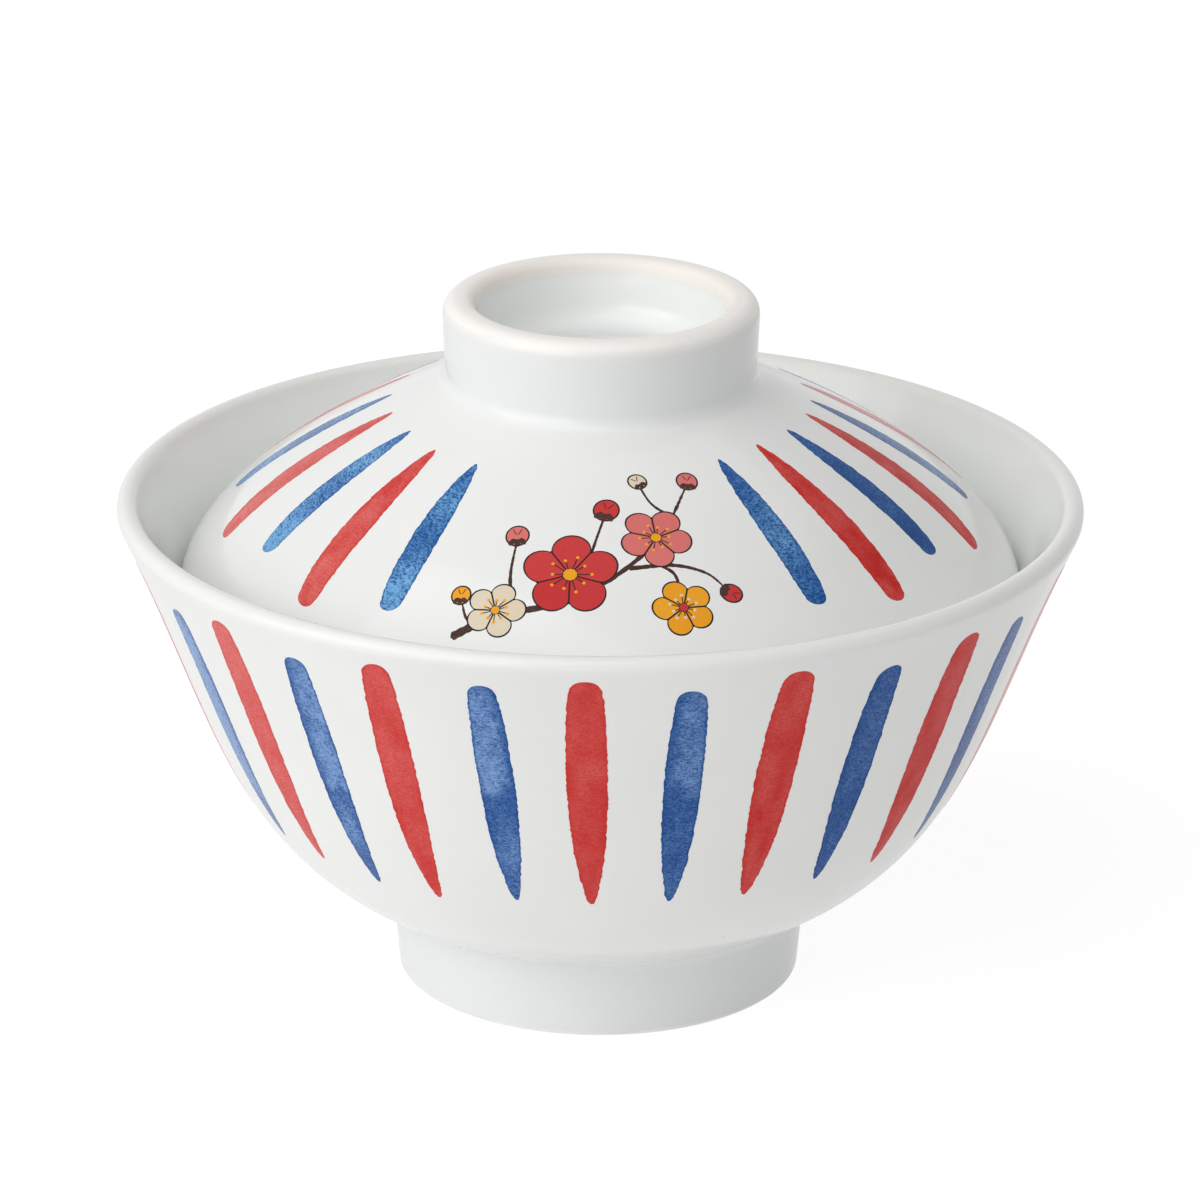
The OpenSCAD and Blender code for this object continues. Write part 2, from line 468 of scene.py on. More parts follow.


# Glaze: plain, and thinner on the lip and near the top of the knob ring. Painted shade makes it cooler and a
# little darker on the foot and the knob ring, painted light makes it lighter inside the bowl and on the
# well's wall, and painted shade darkens the well's floor
COOL, PALE = (0.852, 0.862, 0.846), (0.870, 0.874, 0.858)
# Painted shade for the foot and the knob ring, thinner glaze, and painted light inside the bowl, in this
# order
PAINTED_SHADE_TINT, THINNED, PAINTED_INNER_LIGHT = (0.834, 0.857, 0.847), (0.858, 0.858, 0.832), (0.892, 0.910, 0.890)
# Painted light on the well's wall, and painted shade on its floor
PAINTED_WELL_LIGHT, PAINTED_WELL_SHADE = (0.915, 0.928, 0.912), (0.745, 0.772, 0.762)
SPECK = (0.30, 0.24, 0.17)
# Bare body on the knob ring: the two ends of its grain, and its inner side
BISCUIT, BISCUIT_PALE, TOASTED = (0.945, 0.918, 0.876), (0.960, 0.937, 0.900), (0.935, 0.884, 0.822)
GLAZE_ROUGH, BARE_ROUGH, GLAZE_IOR = (0.085, 0.13), 0.42, 1.45
# Values of a noise pattern between which it fades
SOFT, CRISP = (0.3, 0.7), (0.35, 0.65)
# Cells in a metre of each pattern of the glaze
CLOUD_CELLS, WAVE_CELLS, SPECK_CELLS, GRAIN_CELLS = 38, 120, 95.0, 1400
SMEAR_CELLS, RIPPLE_CELLS, PEEL_CELLS = 70, 55, 2600
# How far the edge of the bare band wanders, and millimetres inward from the knob ring's outer rounding
# over which the well's painted light begins, the painted light of its wall turns into the painted shade of
# its floor, and the bare band darkens
WAVE_DEPTH = 0.9 * MM
WELL_EDGE, WELL_TURN, TOASTED_EDGE = (1.0, 2.4), (4.6, 8.5), (0.2, 2.0)
# Share of the cells without a speck, a speck's size in cells from its full core to its rim, and its strength
NO_SPECK, SPECK_CORE, SPECK_RIM, SPECK_STRENGTH = 0.82, 0.012, 0.022, 0.55
RIPPLE_STRENGTH, RIPPLE_DEPTH = 0.25, 0.25 * MM
PEEL_STRENGTH, PEEL_DEPTH = 0.06, 0.02 * MM


def over(nt, value, span, *ends):
    """Ramp over a span given in millimetres."""
    return ramp(nt, value, span[0] * MM, span[1] * MM, *ends)


def ripple(nt, coords):
    """Soft unevenness of the glaze's surface."""
    return node(nt, "ShaderNodeBump", {"Height": noise(nt, coords, RIPPLE_CELLS, 2),
                                       "Strength": RIPPLE_STRENGTH, "Distance": RIPPLE_DEPTH})


def porcelain(name, bare_z, painted_shade_z, thin_z, bare_r, bare_lean):
    """White glaze with faint clouds, rare specks and a soft ripple; warm and dull where the body is bare.

    Spans of height, in millimetres, say where the body gets bare, where painted shade makes the glaze cooler
    and a little darker, and where the glaze is thinner. The bare band ends lower on the inside of the ring of
    radius bare_r than on its outside, by bare_lean. Inward of that ring, painted light lightens the well's
    wall and painted shade darkens its floor. The inside attribute is 1 where the glaze lies inside the bowl,
    where painted light makes it lighter.
    """
    mat, nt, shader = nodes_of(name)
    coords = node(nt, "ShaderNodeTexCoord").outputs["Object"]
    clouds = ramp(nt, noise(nt, coords, CLOUD_CELLS, 3), *CRISP)
    glaze = mix_colour(nt, clouds, COOL, PALE)
    inside = node(nt, "ShaderNodeAttribute", attribute_name="inside").outputs["Fac"]
    # Painted light: inside the bowl the glaze is lighter and greener
    glaze = mix_colour(nt, inside, glaze, PAINTED_INNER_LIGHT)
    height = node(nt, "ShaderNodeSeparateXYZ", {0: coords}).outputs["Z"]
    wave = math_node(nt, "SUBTRACT", noise(nt, coords, WAVE_CELLS, 2), 0.5)
    wave = math_node(nt, "MULTIPLY", wave, WAVE_DEPTH)
    flat = node(nt, "ShaderNodeVectorMath", {0: coords, 1: (1.0, 1.0, 0.0)}, operation="MULTIPLY").outputs[0]
    radius = node(nt, "ShaderNodeVectorMath", {0: flat}, operation="LENGTH").outputs["Value"]
    inward = math_node(nt, "SUBTRACT", bare_r * MM, radius)
    level = math_node(nt, "ADD", height, wave)
    level = math_node(nt, "ADD", level, math_node(nt, "MULTIPLY", inward, bare_lean))
    bare = over(nt, level, bare_z)
    # Painted shade: the glaze turns cooler and a little darker on the foot and on the knob ring
    painted_shade_band = over(nt, height, painted_shade_z)
    # Inside the knob ring, painted light lightens the well's wall and painted shade darkens its floor
    painted_well_light_and_shade = mix_colour(nt, over(nt, inward, WELL_TURN), PAINTED_WELL_LIGHT, PAINTED_WELL_SHADE)
    painted_shading = mix_colour(nt, over(nt, inward, WELL_EDGE), PAINTED_SHADE_TINT, painted_well_light_and_shade)
    glaze = mix_colour(nt, painted_shade_band, glaze, painted_shading)
    glaze = mix_colour(nt, over(nt, height, thin_z), glaze, THINNED)
    cells = node(nt, "ShaderNodeTexVoronoi", {"Vector": coords, "Scale": SPECK_CELLS, "Randomness": 1.0})
    draw = node(nt, "ShaderNodeSeparateColor", {0: cells.outputs["Color"]}).outputs[0]
    chosen = math_node(nt, "GREATER_THAN", draw, NO_SPECK)
    speck = ramp(nt, cells.outputs["Distance"], SPECK_CORE, SPECK_RIM, SPECK_STRENGTH, 0.0)
    glaze = mix_colour(nt, math_node(nt, "MULTIPLY", speck, chosen), glaze, SPECK)
    grain = ramp(nt, noise(nt, coords, GRAIN_CELLS, 2), *SOFT)
    biscuit = mix_colour(nt, grain, BISCUIT, BISCUIT_PALE)
    biscuit = mix_colour(nt, over(nt, inward, TOASTED_EDGE), biscuit, TOASTED)
    smear = ramp(nt, noise(nt, coords, SMEAR_CELLS, 2), *SOFT, *GLAZE_ROUGH)
    rough = node(nt, "ShaderNodeMix", {0: bare, 2: smear, 3: BARE_ROUGH})
    peel = node(nt, "ShaderNodeBump", {"Height": noise(nt, coords, PEEL_CELLS, 1), "Strength": PEEL_STRENGTH,
                                       "Distance": PEEL_DEPTH, "Normal": ripple(nt, coords).outputs[0]})
    plug(nt, shader, {"Base Color": mix_colour(nt, bare, glaze, biscuit), "Roughness": rough.outputs[0],
                      "Normal": peel.outputs[0], "IOR": GLAZE_IOR})
    return mat


# Pigment: cells in a millimetre of its fine and broad grain, their stretch across the stroke,
# the broad grain's share of the fine one, how the grain grows with the thinness of the paint, the
# values between which the fine grain fades, and the range of both grains
FINE_CELLS, BROAD_CELLS, FIBRE_SCALE, BROAD_SHARE = 3.1, 0.75, (0.62, 1.0, 1.0), 0.35
GRAIN_GROWTH, GRAIN_LEAST, FINE_FADE, EITHER_WAY = 1.1, 0.22, (0.34, 0.68), (-0.5, 0.5)
# Greatest tone that still counts as the pooled rim, and how dark the rim is as a share of the deep colour
RIM_TONE, RIM_SHARE = 0.10, 0.72
PAINT_SMEAR_CELLS, PAINT_ROUGH, PAINT_IOR, PAINT_SPECULAR = 90, (0.10, 0.15), 1.42, 0.10


def pigment(name, deep, light, grain_amount, edge_dark=0.0):
    """Colour under the glaze: the tone attribute says how thin it is, and a fibrous grain breaks it up."""
    mat, nt, shader = nodes_of(name)
    coords = node(nt, "ShaderNodeTexCoord").outputs["Object"]
    tone = node(nt, "ShaderNodeAttribute", attribute_name="tone").outputs["Fac"]
    lengths = node(nt, "ShaderNodeAttribute", attribute_name="grain").outputs["Vector"]
    fibres = node(nt, "ShaderNodeMapping", {"Vector": lengths, "Scale": FIBRE_SCALE}).outputs[0]
    fine = ramp(nt, noise(nt, fibres, FINE_CELLS, 3, 0.65, 0.8), *FINE_FADE, *EITHER_WAY)
    broad = ramp(nt, noise(nt, lengths, BROAD_CELLS, 2, 0.6), *SOFT, *EITHER_WAY)
    uneven = math_node(nt, "ADD", math_node(nt, "MULTIPLY", fine, grain_amount),
                       math_node(nt, "MULTIPLY", broad, grain_amount * BROAD_SHARE))
    weight = math_node(nt, "ADD", math_node(nt, "MULTIPLY", tone, GRAIN_GROWTH), GRAIN_LEAST)
    factor = math_node(nt, "ADD", tone, math_node(nt, "MULTIPLY", uneven, weight), clamp=True)
    colour = mix_colour(nt, factor, deep, light)
    dark = ramp(nt, tone, 0.0, RIM_TONE, edge_dark, 0.0)
    colour = mix_colour(nt, dark, colour, tuple(c * RIM_SHARE for c in deep))
    rough = ramp(nt, noise(nt, coords, PAINT_SMEAR_CELLS, 2), *SOFT, *PAINT_ROUGH)
    plug(nt, shader, {"Base Color": colour, "Roughness": rough, "Normal": ripple(nt, coords).outputs[0],
                      "IOR": PAINT_IOR, "Specular IOR Level": PAINT_SPECULAR})
    return mat


# Bowl and lid

# Spans of height for the glaze, from its first change to its full one
FOOT_BARE_Z = (0.95, 0.45)
# Painted shade tints the glaze low on the bowl, over the foot
FOOT_SHADE_TINT_Z = (FOOT_H + 2.5, FOOT_H - 0.5)
LIP_THIN_Z = (BOWL_H - 3.0, BOWL_H - 0.8)
top_z, dome_z = seat_z + knob_top_z, seat_z + DOME_H
KNOB_BARE_Z = (top_z - 2.3, top_z - 0.9)
# Painted shade tints the glaze over the knob ring and its well
KNOB_SHADE_TINT_Z = (dome_z - 1.0, dome_z + 1.5)
KNOB_THIN_Z = (top_z - 4.0, top_z - 1.0)
KNOB_BARE_LEAN = 0.18

bowl_points, lid_points = bowl_outline(), lid_outline()
bowl_glaze = porcelain("bowl_porcelain", FOOT_BARE_Z, FOOT_SHADE_TINT_Z, LIP_THIN_Z, 0.0, 0.0)
lid_glaze = porcelain("lid_porcelain", KNOB_BARE_Z, KNOB_SHADE_TINT_Z, KNOB_THIN_Z,
                      knob_out[0] - KNOB_EDGE, KNOB_BARE_LEAN)

# The painted light inside the bowl begins below the lip's top and reaches its full colour a few millimetres
# lower
INNER_FADE = 4.0
past_lip = np.arange(len(bowl_points)) > np.argmax(bowl_points[:, 1])
inside = past_lip * np.clip((BOWL_H - bowl_points[:, 1]) / INNER_FADE, 0, 1)
bowl_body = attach(lathe("bowl_body", bowl_points, bowl_glaze, attributes={"inside": inside}), "bowl")
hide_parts("bowl")
lid_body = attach(lathe("lid_body", lid_points, lid_glaze, clockwise=True), "lid")
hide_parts("lid")

bowl_side = Surface([curve_at(belly, t) for t in shares(SIDE_STEPS)], True)
lid_side = Surface([curve_at(dome, t) + vec(0, seat_z) for t in shares(SIDE_STEPS)], False)

# Brush strokes

# Steps across a stroke, drawn towards its sides by the power, and the length between its rows
STROKE_COLS, COLUMN_POWER = 8, 0.8
ROW_STEP = 0.22 * MM
LEAST_ROWS, CAP_ROWS, TIP_STEP = 8, 15, 0.08 * MM
# Rows whose places, in metres, agree to this number of decimals are one
ROW_DECIMALS = 9
# Power of the round end's outline, and the share of the length at which its radius is taken
ROUND_POWER, CAP_SHARE = 2.2, 0.95
# Spacing and depth of the two raggednesses of a stroke's sides, the half width from which they are
# full, and how much of them the round end loses
RAGS = ((0.95 * MM, 0.07 * MM), (0.46 * MM, 0.095 * MM))
RAG_WIDTH, RAG_LOSS = 0.6 * MM, 0.7
# Greatest slant of the round end in millimetres, and the shares of the length where it sets in
END_SLANT, SLANT_SHARES = 0.45, (0.8, 1.0)


def step_up(x, low, high):
    """0 up to low, 1 from high on, and smooth between them."""
    t = np.clip((x - low) / (high - low), 0, 1)
    return t * t * (3 - 2 * t)


def bell(u, middle, reach, power=2):
    """1 at the middle, falling off to both sides."""
    return np.exp(-(np.abs(u - middle) / reach) ** power)


# Places along a stroke, from its pointed tip to its round end, and its width there, as shares
WIDTH_PLACES = (0, 0.02, 0.045, 0.09, 0.13, 0.22, 0.32, 0.41, 0.5, 0.59, 0.68, 0.77, 0.86, 0.95, 1.0)
BOWL_WIDTHS = (0.07, 0.2, 0.3, 0.41, 0.5, 0.69, 0.83, 0.92, 0.97, 1.0, 0.99, 0.97, 0.92, 0.81, 0.68)
LID_WIDTHS = (0.06, 0.19, 0.29, 0.41, 0.51, 0.7, 0.83, 0.92, 0.98, 1.0, 0.98, 0.96, 0.89, 0.76, 0.64)


def width_at(u, widths):
    """Width at the share u of the length: a cubic through the places above."""
    x, y = np.array(WIDTH_PLACES), np.array(widths)
    slope = np.gradient(y, x)
    i = np.clip(np.searchsorted(x, u, side="right") - 1, 0, len(x) - 2)
    h = x[i + 1] - x[i]
    t = (u - x[i]) / h
    return ((2 * t**3 - 3 * t**2 + 1) * y[i] + (t**3 - 2 * t**2 + t) * h * slope[i]
            + (-2 * t**3 + 3 * t**2) * y[i + 1] + (t**3 - t**2) * h * slope[i + 1])


def ragged(rng, along):
    coarse, fine = (rough_line(rng, along, wave, depth) for wave, depth in RAGS)
    return coarse + fine


def stroke(paint, rng, s_tip, s_end, azimuths, width, widths, tone_of, looks, height):
    """A brush stroke from its pointed tip to its round end, with the azimuths of its tip, middle and end."""
    length, half = s_end - s_tip, width / 2
    cap = half * width_at(CAP_SHARE, widths)
    body = np.linspace(0, length - cap, max(LEAST_ROWS, round((length - cap) / ROW_STEP)))
    round_end = length - cap + cap * np.sin(np.linspace(0, math.pi / 2, CAP_ROWS)[1:])
    along = np.unique(np.round(np.r_[0, TIP_STEP, body[1:], round_end], ROW_DECIMALS))
    u = along / length
    past = np.clip((along - (length - cap)) / cap, 0, 1)
    rounded = cap * (1 - past**ROUND_POWER) ** (1 / ROUND_POWER)
    w = np.where(past > 0, rounded, half * width_at(u, widths))
    fade = np.clip(w / RAG_WIDTH, 0, 1) * (1 - RAG_LOSS * past)
    left, right = w + fade * ragged(rng, along), w + fade * ragged(rng, along)
    v = np.linspace(-1, 1, STROKE_COLS + 1)[None, :]
    v = np.sign(v) * np.abs(v) ** COLUMN_POWER
    x = v * np.where(v < 0, left[:, None], right[:, None])
    slant = rng.uniform(-END_SLANT, END_SLANT) * MM
    lean = slant * v * (step_up(u, *SLANT_SHARES) * w / half)[:, None]
    s = s_tip + (along[:, None] + lean)
    # The stroke's middle line bends evenly through the three azimuths
    low, mid, top = (math.radians(a) for a in azimuths)
    middle = low + (4 * mid - 3 * low - top) * u + (2 * low + 2 * top - 4 * mid) * u**2
    phi = middle[:, None] + x / paint.surface.radius(s)
    u_all, v_all = (np.broadcast_to(a, x.shape) for a in (u[:, None], v))
    thin_paint, *place = looks
    paint.strip(s, phi, tone_of(u_all, v_all, thin_paint, rng, *place), height)


def pool_sides(tone, v, strength, width, least):
    """Deepens the tone along both sides, where the paint pooled, and keeps it within bounds."""
    side = np.clip((np.abs(v) - (1 - width)) / width, 0, 1)
    return np.clip(tone * (1 - strength * side), least, 1)


def mottle(rng, u, v, cells):
    """Smooth random field over a stroke, from 0 to 1, with the given cells along and across."""
    return cloud(rng, np.clip(u, 0, 1), (v + 1) / 2, *cells)


# The tones below run from 0, where the paint is thickest, to 1, where it is thinnest.


def red_tone(u, v, thin_paint, rng):
    """Nearly even, and a little thinner towards the round end."""
    uneven = mottle(rng, u, v, (13, 3)) - 0.5
    tone = 0.10 + 0.52 * thin_paint * (0.6 + 0.4 * step_up(u, 0.1, 0.9)) + 0.36 * uneven
    return pool_sides(tone, v, strength=0.5, width=0.14, least=0.02)


def bowl_blue_tone(u, v, thin_paint, rng, place):
    """Deep at the tip, and thin in the upper part, from a soft edge near the place on, on one side."""
    # The edge is wavy, and a little higher on one side
    edge, soft = place - 0.25 + rng.uniform(-0.05, 0.05), rng.uniform(0.02, 0.06)
    wander = 0.20 * (mottle(rng, u, v, (9, 3)) - 0.5) + rng.uniform(-0.05, 0.05) * v
    light = thin_paint * step_up(u + wander, edge - soft, edge + soft)
    # One side of the stroke, and to some extent its round end, stay thicker
    side = rng.choice([-1, 1])
    light = light * (1 - 0.85 * step_up(side * v, rng.uniform(0.1, 0.4), 0.8))
    light = light * (1 - 0.45 * step_up(u, 0.88, 1.0))
    # A faint thin patch lies near the tip
    low = 0.45 * thin_paint * bell(u, rng.uniform(0.18, 0.28), 0.12) * mottle(rng, u, v, (9, 2))
    tone = 0.09 + 0.08 * thin_paint + low + light * (0.25 + 0.46 * mottle(rng, u, v, (17, 3)))
    tone += 0.12 * (mottle(rng, u, v, (11, 2)) - 0.5)
    return pool_sides(tone, v, strength=0.85, width=0.15, least=0.01)


def lid_blue_tone(u, v, thin_paint, rng, place):
    """Deep, with a thin patch round the place and, where that is far out, another one near the knob ring."""
    near_knob = 0.55 * bell(u, rng.uniform(0.20, 0.30), 0.12) * (place > 0.8)
    wander = 0.16 * (mottle(rng, u, v, (6, 2)) - 0.5)
    patch = bell(u + wander, place, 0.24, 2.4)
    spread = 0.35 + 0.65 * mottle(rng, u, v, (15, 3))
    tone = 0.03 + 0.26 * thin_paint + (near_knob + patch) * spread * thin_paint
    tone += 0.12 * (mottle(rng, u, v, (9, 2)) - 0.5)
    return pool_sides(tone, v, strength=0.8, width=0.17, least=0.01)


red_pigment = pigment("red_underglaze", (0.590, 0.022, 0.018), (0.760, 0.160, 0.150), 0.55, 0.25)
blue_pigment = pigment("blue_underglaze", (0.010, 0.072, 0.285), (0.215, 0.365, 0.660), 0.95, 0.45)
lid_red_pigment = pigment("lid_red_underglaze", (0.600, 0.016, 0.012), (0.800, 0.225, 0.205), 0.45, 0.25)
lid_blue_pigment = pigment("lid_blue_underglaze", (0.004, 0.072, 0.298), (0.185, 0.435, 0.740), 1.25, 0.45)

# Azimuth in degrees at the tip, the middle and the end, height of the tip and of the end, greatest
# width, thinness of the paint, and for blue the place along the stroke where the paint is thinnest
BOWL_RED = [
    (-75.2, -76.1, -76.6, 33.4, 75.0, 5.6, 0.6),
    (-49.0, -50.1, -50.5, 32.9, 76.8, 6.1, 1.25),
    (-25.8, -26.6, -26.6, 32.0, 77.4, 6.1, 0.65),
    (-1.0, -1.5, -1.6, 33.8, 77.8, 6.4, 0.45),
    (22.9, 23.1, 23.5, 33.6, 77.2, 6.7, 0.45),
    (48.3, 48.6, 49.0, 32.9, 75.7, 6.8, 0.2),
    (74.1, 74.4, 74.8, 33.2, 76.0, 6.5, 0.5),
]
BOWL_BLUE = [
    (-60.0, -61.2, -62.0, 33.2, 73.7, 5.6, 2.0, 0.45),
    (-37.0, -38.2, -38.4, 32.2, 74.8, 5.6, 1.15, 0.7),
    (-12.6, -13.1, -13.7, 33.9, 76.0, 5.7, 1.1, 0.75),
    (10.8, 10.7, 10.8, 34.0, 75.5, 5.9, 0.7, 0.8),
    (35.6, 35.8, 36.3, 33.7, 74.5, 5.9, 0.2, 0.7),
    (61.0, 60.9, 61.0, 32.8, 73.5, 5.7, 0.3, 0.7),
]
# The same for the lid, with the radius of the tip and of the end in place of their height
LID_RED = [
    (-113.0, -113.5, -112.5, 33.6, 61.2, 5.2, 0.6),
    (-80.0, -80.2, -78.0, 33.6, 61.3, 5.4, 1.0),
    (-48.7, -48.8, -47.9, 34.5, 62.2, 5.3, 0.75),
    (48.1, 49.2, 49.0, 32.8, 61.5, 5.1, 0.1),
    (79.2, 78.4, 75.5, 33.1, 61.7, 5.1, 0.05),
    (107.0, 107.4, 106.4, 33.6, 61.4, 5.1, 0.4),
]
LID_BLUE = [
    (-95.5, -96.0, -94.8, 33.6, 59.0, 4.7, 0.7, 0.9),
    (-63.5, -64.2, -63.3, 33.5, 58.9, 4.8, 1.1, 0.9),
    (-33.7, -33.6, -33.1, 34.8, 59.9, 4.8, 0.78, 0.93),
    (33.2, 34.6, 34.8, 33.5, 59.1, 4.7, 0.45, 0.55),
    (63.5, 64.0, 63.0, 32.8, 58.7, 4.7, 0.1, 0.1),
    (91.8, 92.2, 91.0, 33.5, 59.0, 4.5, 0.3, 0.8),
]
STROKE_H = 0.03 * MM

# Azimuths on the left and on the right between which the hidden strokes are spaced round the back,
# and the number of gaps that they leave
BOWL_REACH, BOWL_GAPS = (74.0, 73.5), 18
LID_REACH, LID_GAPS = (113.0, 107.0), 10
# Greatest change of a hidden stroke's azimuth and width, its thinness and the place of its thin patch
SLIP, WIDTH_SLIP, THINNESS, THIN_PLACE, PLACE_SLIP = 0.5, 0.15, (0.2, 1.1), 0.8, 0.15
HIDDEN_SEED, BOWL_SEEDS, LID_SEEDS, SPRAY_SEED = 41, (11, 12), (13, 14), 21

hidden = np.random.default_rng(HIDDEN_SEED)


def near(middle, most):
    """A draw that is at most so far from the middle."""
    return middle + hidden.uniform(-most, most)


def fill_round(gaps, reach, tilt_most, bend_most, rows, kinds):
    """Adds the strokes behind the ones that the front shows, of the two kinds in turn."""
    step = (360 - reach[0] - reach[1]) / gaps
    for i in range(1, gaps):
        az, tilt = near(reach[1] + step * i, SLIP), near(0, tilt_most)
        low, high, width, slip = kinds[i % 2]
        looks = [hidden.uniform(*THINNESS)] + [near(THIN_PLACE, PLACE_SLIP)] * (i % 2)
        azimuths = (az, near(az, bend_most) + tilt / 2, az + tilt)
        rows[i % 2].append((*azimuths, near(low, slip), near(high, slip), near(width, WIDTH_SLIP), *looks))


# Red and blue: height or radius of the tip and of the end, width, and how far the first two may change
BOWL_KINDS = ((33.1, 76.4, 6.4, 0.8), (33.8, 74.8, 5.7, 0.8))
LID_KINDS = ((33.8, 61.4, 5.15, 0.5), (33.8, 59.0, 4.65, 0.5))
fill_round(BOWL_GAPS, BOWL_REACH, 0.6, 0.25, (BOWL_RED, BOWL_BLUE), BOWL_KINDS)
fill_round(LID_GAPS, LID_REACH, 0.8, 0.3, (LID_RED, LID_BLUE), LID_KINDS)


def strokes(name, surface, place, rows, widths, seed, tone_of, material, body):
    paint = Paint(surface)
    rng = np.random.default_rng(seed)
    for az_tip, az_mid, az_end, tip, end, width, *looks in rows:
        azimuths = (az_tip, az_mid, az_end)
        stroke(paint, rng, place(tip), place(end), azimuths, width * MM, widths, tone_of, looks, STROKE_H)
    paint.build(name, [material], body)


on_bowl, on_lid = (bowl_side, bowl_side.at_height), (lid_side, lid_side.at_radius)
bowl_looks = ((BOWL_RED, red_tone, red_pigment), (BOWL_BLUE, bowl_blue_tone, blue_pigment))
lid_looks = ((LID_RED, red_tone, lid_red_pigment), (LID_BLUE, lid_blue_tone, lid_blue_pigment))
for body, side, looks, widths, seeds in (
    ("bowl", on_bowl, bowl_looks, BOWL_WIDTHS, BOWL_SEEDS),
    ("lid", on_lid, lid_looks, LID_WIDTHS, LID_SEEDS),
):
    for colour, (rows, tone_of, material), seed in zip(("red", "blue"), looks, seeds):
        strokes(f"{body}_{colour}_strokes", *side, rows, widths, seed, tone_of, material, body)

# Plum blossom spray on the lid

INK, RED, CORAL, CREAM, GOLD, BARK = range(6)
# Name, deep and light colour and grain of each pigment, in the order above
SPRAY_COLOURS = [
    ("spray_ink", (0.020, 0.016, 0.017), (0.035, 0.028, 0.028), 0.1),
    ("spray_red", (0.560, 0.030, 0.034), (0.640, 0.060, 0.060), 0.2),
    ("spray_coral", (0.700, 0.150, 0.140), (0.760, 0.220, 0.200), 0.2),
    ("spray_cream", (0.760, 0.640, 0.470), (0.800, 0.700, 0.540), 0.2),
    ("spray_gold", (0.880, 0.345, 0.014), (0.920, 0.420, 0.030), 0.2),
    ("spray_bark", (0.045, 0.022, 0.018), (0.110, 0.055, 0.042), 0.6),
]
# Heights of the layers over the glaze, and a step between layers that cross
LAYERS = (0.012, 0.020, 0.032, 0.042, 0.050, 0.060)
H_TWIG, H_INK, H_FILL, H_CENTRE, H_STAMEN, H_DOT = (h * MM for h in LAYERS)
LAYER = 0.005 * MM
# Width of the ink lines round petals and buds, of stamens and of the creases of buds
LINE, STAMEN_WIDTH, CREASE_WIDTH = 0.28 * MM, 0.16 * MM, 0.14 * MM
# Points across a twig, how much its tone varies, and points along a hair line and across it
TWIG_COLS, TWIG_TONES, HAIR_ROWS, HAIR_COLS = 5, 0.3, 7, 3
# Points round a blossom, a disc, a sepal and a dot, and along a petal's round end, its foot and its sides
EDGE_POINTS, DISC_POINTS, SEPAL_POINTS, DOT_POINTS = 120, 28, 14, 10
PETAL_POINTS, PETAL_FOOT_POINTS, PETAL_SIDE_POINTS = 19, 5, 9

PETALS, STAMENS = 5, 10
HALF_PETAL = math.pi / PETALS
# A petal's round end: the place of its middle and its radius, as shares of the blossom's radius
PETAL_PLACE, PETAL_ROUND = 0.60, 0.40
# Where the petals begin, the centre's radius, where the stamens begin, and their two lengths, as shares
PETAL_START, CENTRE_SHARE, STAMEN_START, STAMEN_SHARES = 0.17, 0.15, 0.8, (0.37, 0.46)
STAMEN_DOT = 0.27 * MM
# A bud: how flat it is, its two creases (turn and length), and its three sepals (turn, place and size)
BUD_SQUASH, CREASE_TURN, CREASE_SHARE = 0.92, 0.5, 0.88
SEPAL_TURN, SEPAL_PLACE, SEPAL_LONG, SEPAL_WIDE = 0.62, 0.78, 0.42, 0.25

spray = Paint(lid_side)
spray_rng = np.random.default_rng(SPRAY_SEED)


def spot(x, r):
    """Place on the dome: x millimetres to the right of the front line and r from the axis."""
    return lid_side.at_radius(r), x / r


def circle(points):
    """Angles of the given number of points round a circle."""
    return np.linspace(0, TURN, points, endpoint=False)


def disc(x, r, radius, height, mat, squash=1.0, turn=0.0):
    """A round patch, or an oval one that is turned."""
    s0, phi0 = spot(x, r)
    a = circle(DISC_POINTS)
    px, py = radius * MM * np.cos(a), radius * MM * squash * np.sin(a)
    c, d = math.cos(turn), math.sin(turn)
    spray.blob(s0, phi0, px * c - py * d, px * d + py * c, height, mat)


def smooth_curve(p, u):
    """Catmull-Rom through the points."""
    q = np.vstack([2 * p[0] - p[1], p, 2 * p[-1] - p[-2]])
    f = u * (len(p) - 1)
    i = np.clip(np.floor(f).astype(int), 0, len(p) - 2)
    t = (f - i)[:, None]
    a, b, c, d = q[i], q[i + 1], q[i + 2], q[i + 3]
    out = 0.5 * (2 * b + (c - a) * t + (2 * a - 5 * b + 4 * c - d) * t**2 + (3 * b - a - 3 * c + d) * t**3)
    return out[:, 0], out[:, 1]


def twig(points, w0, w1, rough, rows):
    """A tapering line through points (x, r), between two widths in millimetres, with rough sides."""
    u = np.linspace(0, 1, rows)
    x, r = smooth_curve(np.array(points, float), u)
    s, phi = lid_side.at_radius(r), x / r
    px, py = phi * r * MM, -s
    dx, dy = np.gradient(px), np.gradient(py)
    n = np.hypot(dx, dy)
    nx, ny = -dy / n, dx / n
    w = (w0 + (w1 - w0) * u) * MM / 2 + spray_rng.uniform(-rough, rough, rows) * MM / 2
    v = np.linspace(-1, 1, TWIG_COLS)
    sx = px[:, None] + nx[:, None] * w[:, None] * v
    sy = py[:, None] + ny[:, None] * w[:, None] * v
    wide_phi = phi[:, None] + (sx - px[:, None]) / (r[:, None] * MM)
    tone = np.clip(0.4 + spray_rng.uniform(-TWIG_TONES, TWIG_TONES, sy.shape), 0, 1)
    spray.strip(-sy, wide_phi, tone, H_TWIG, BARK)


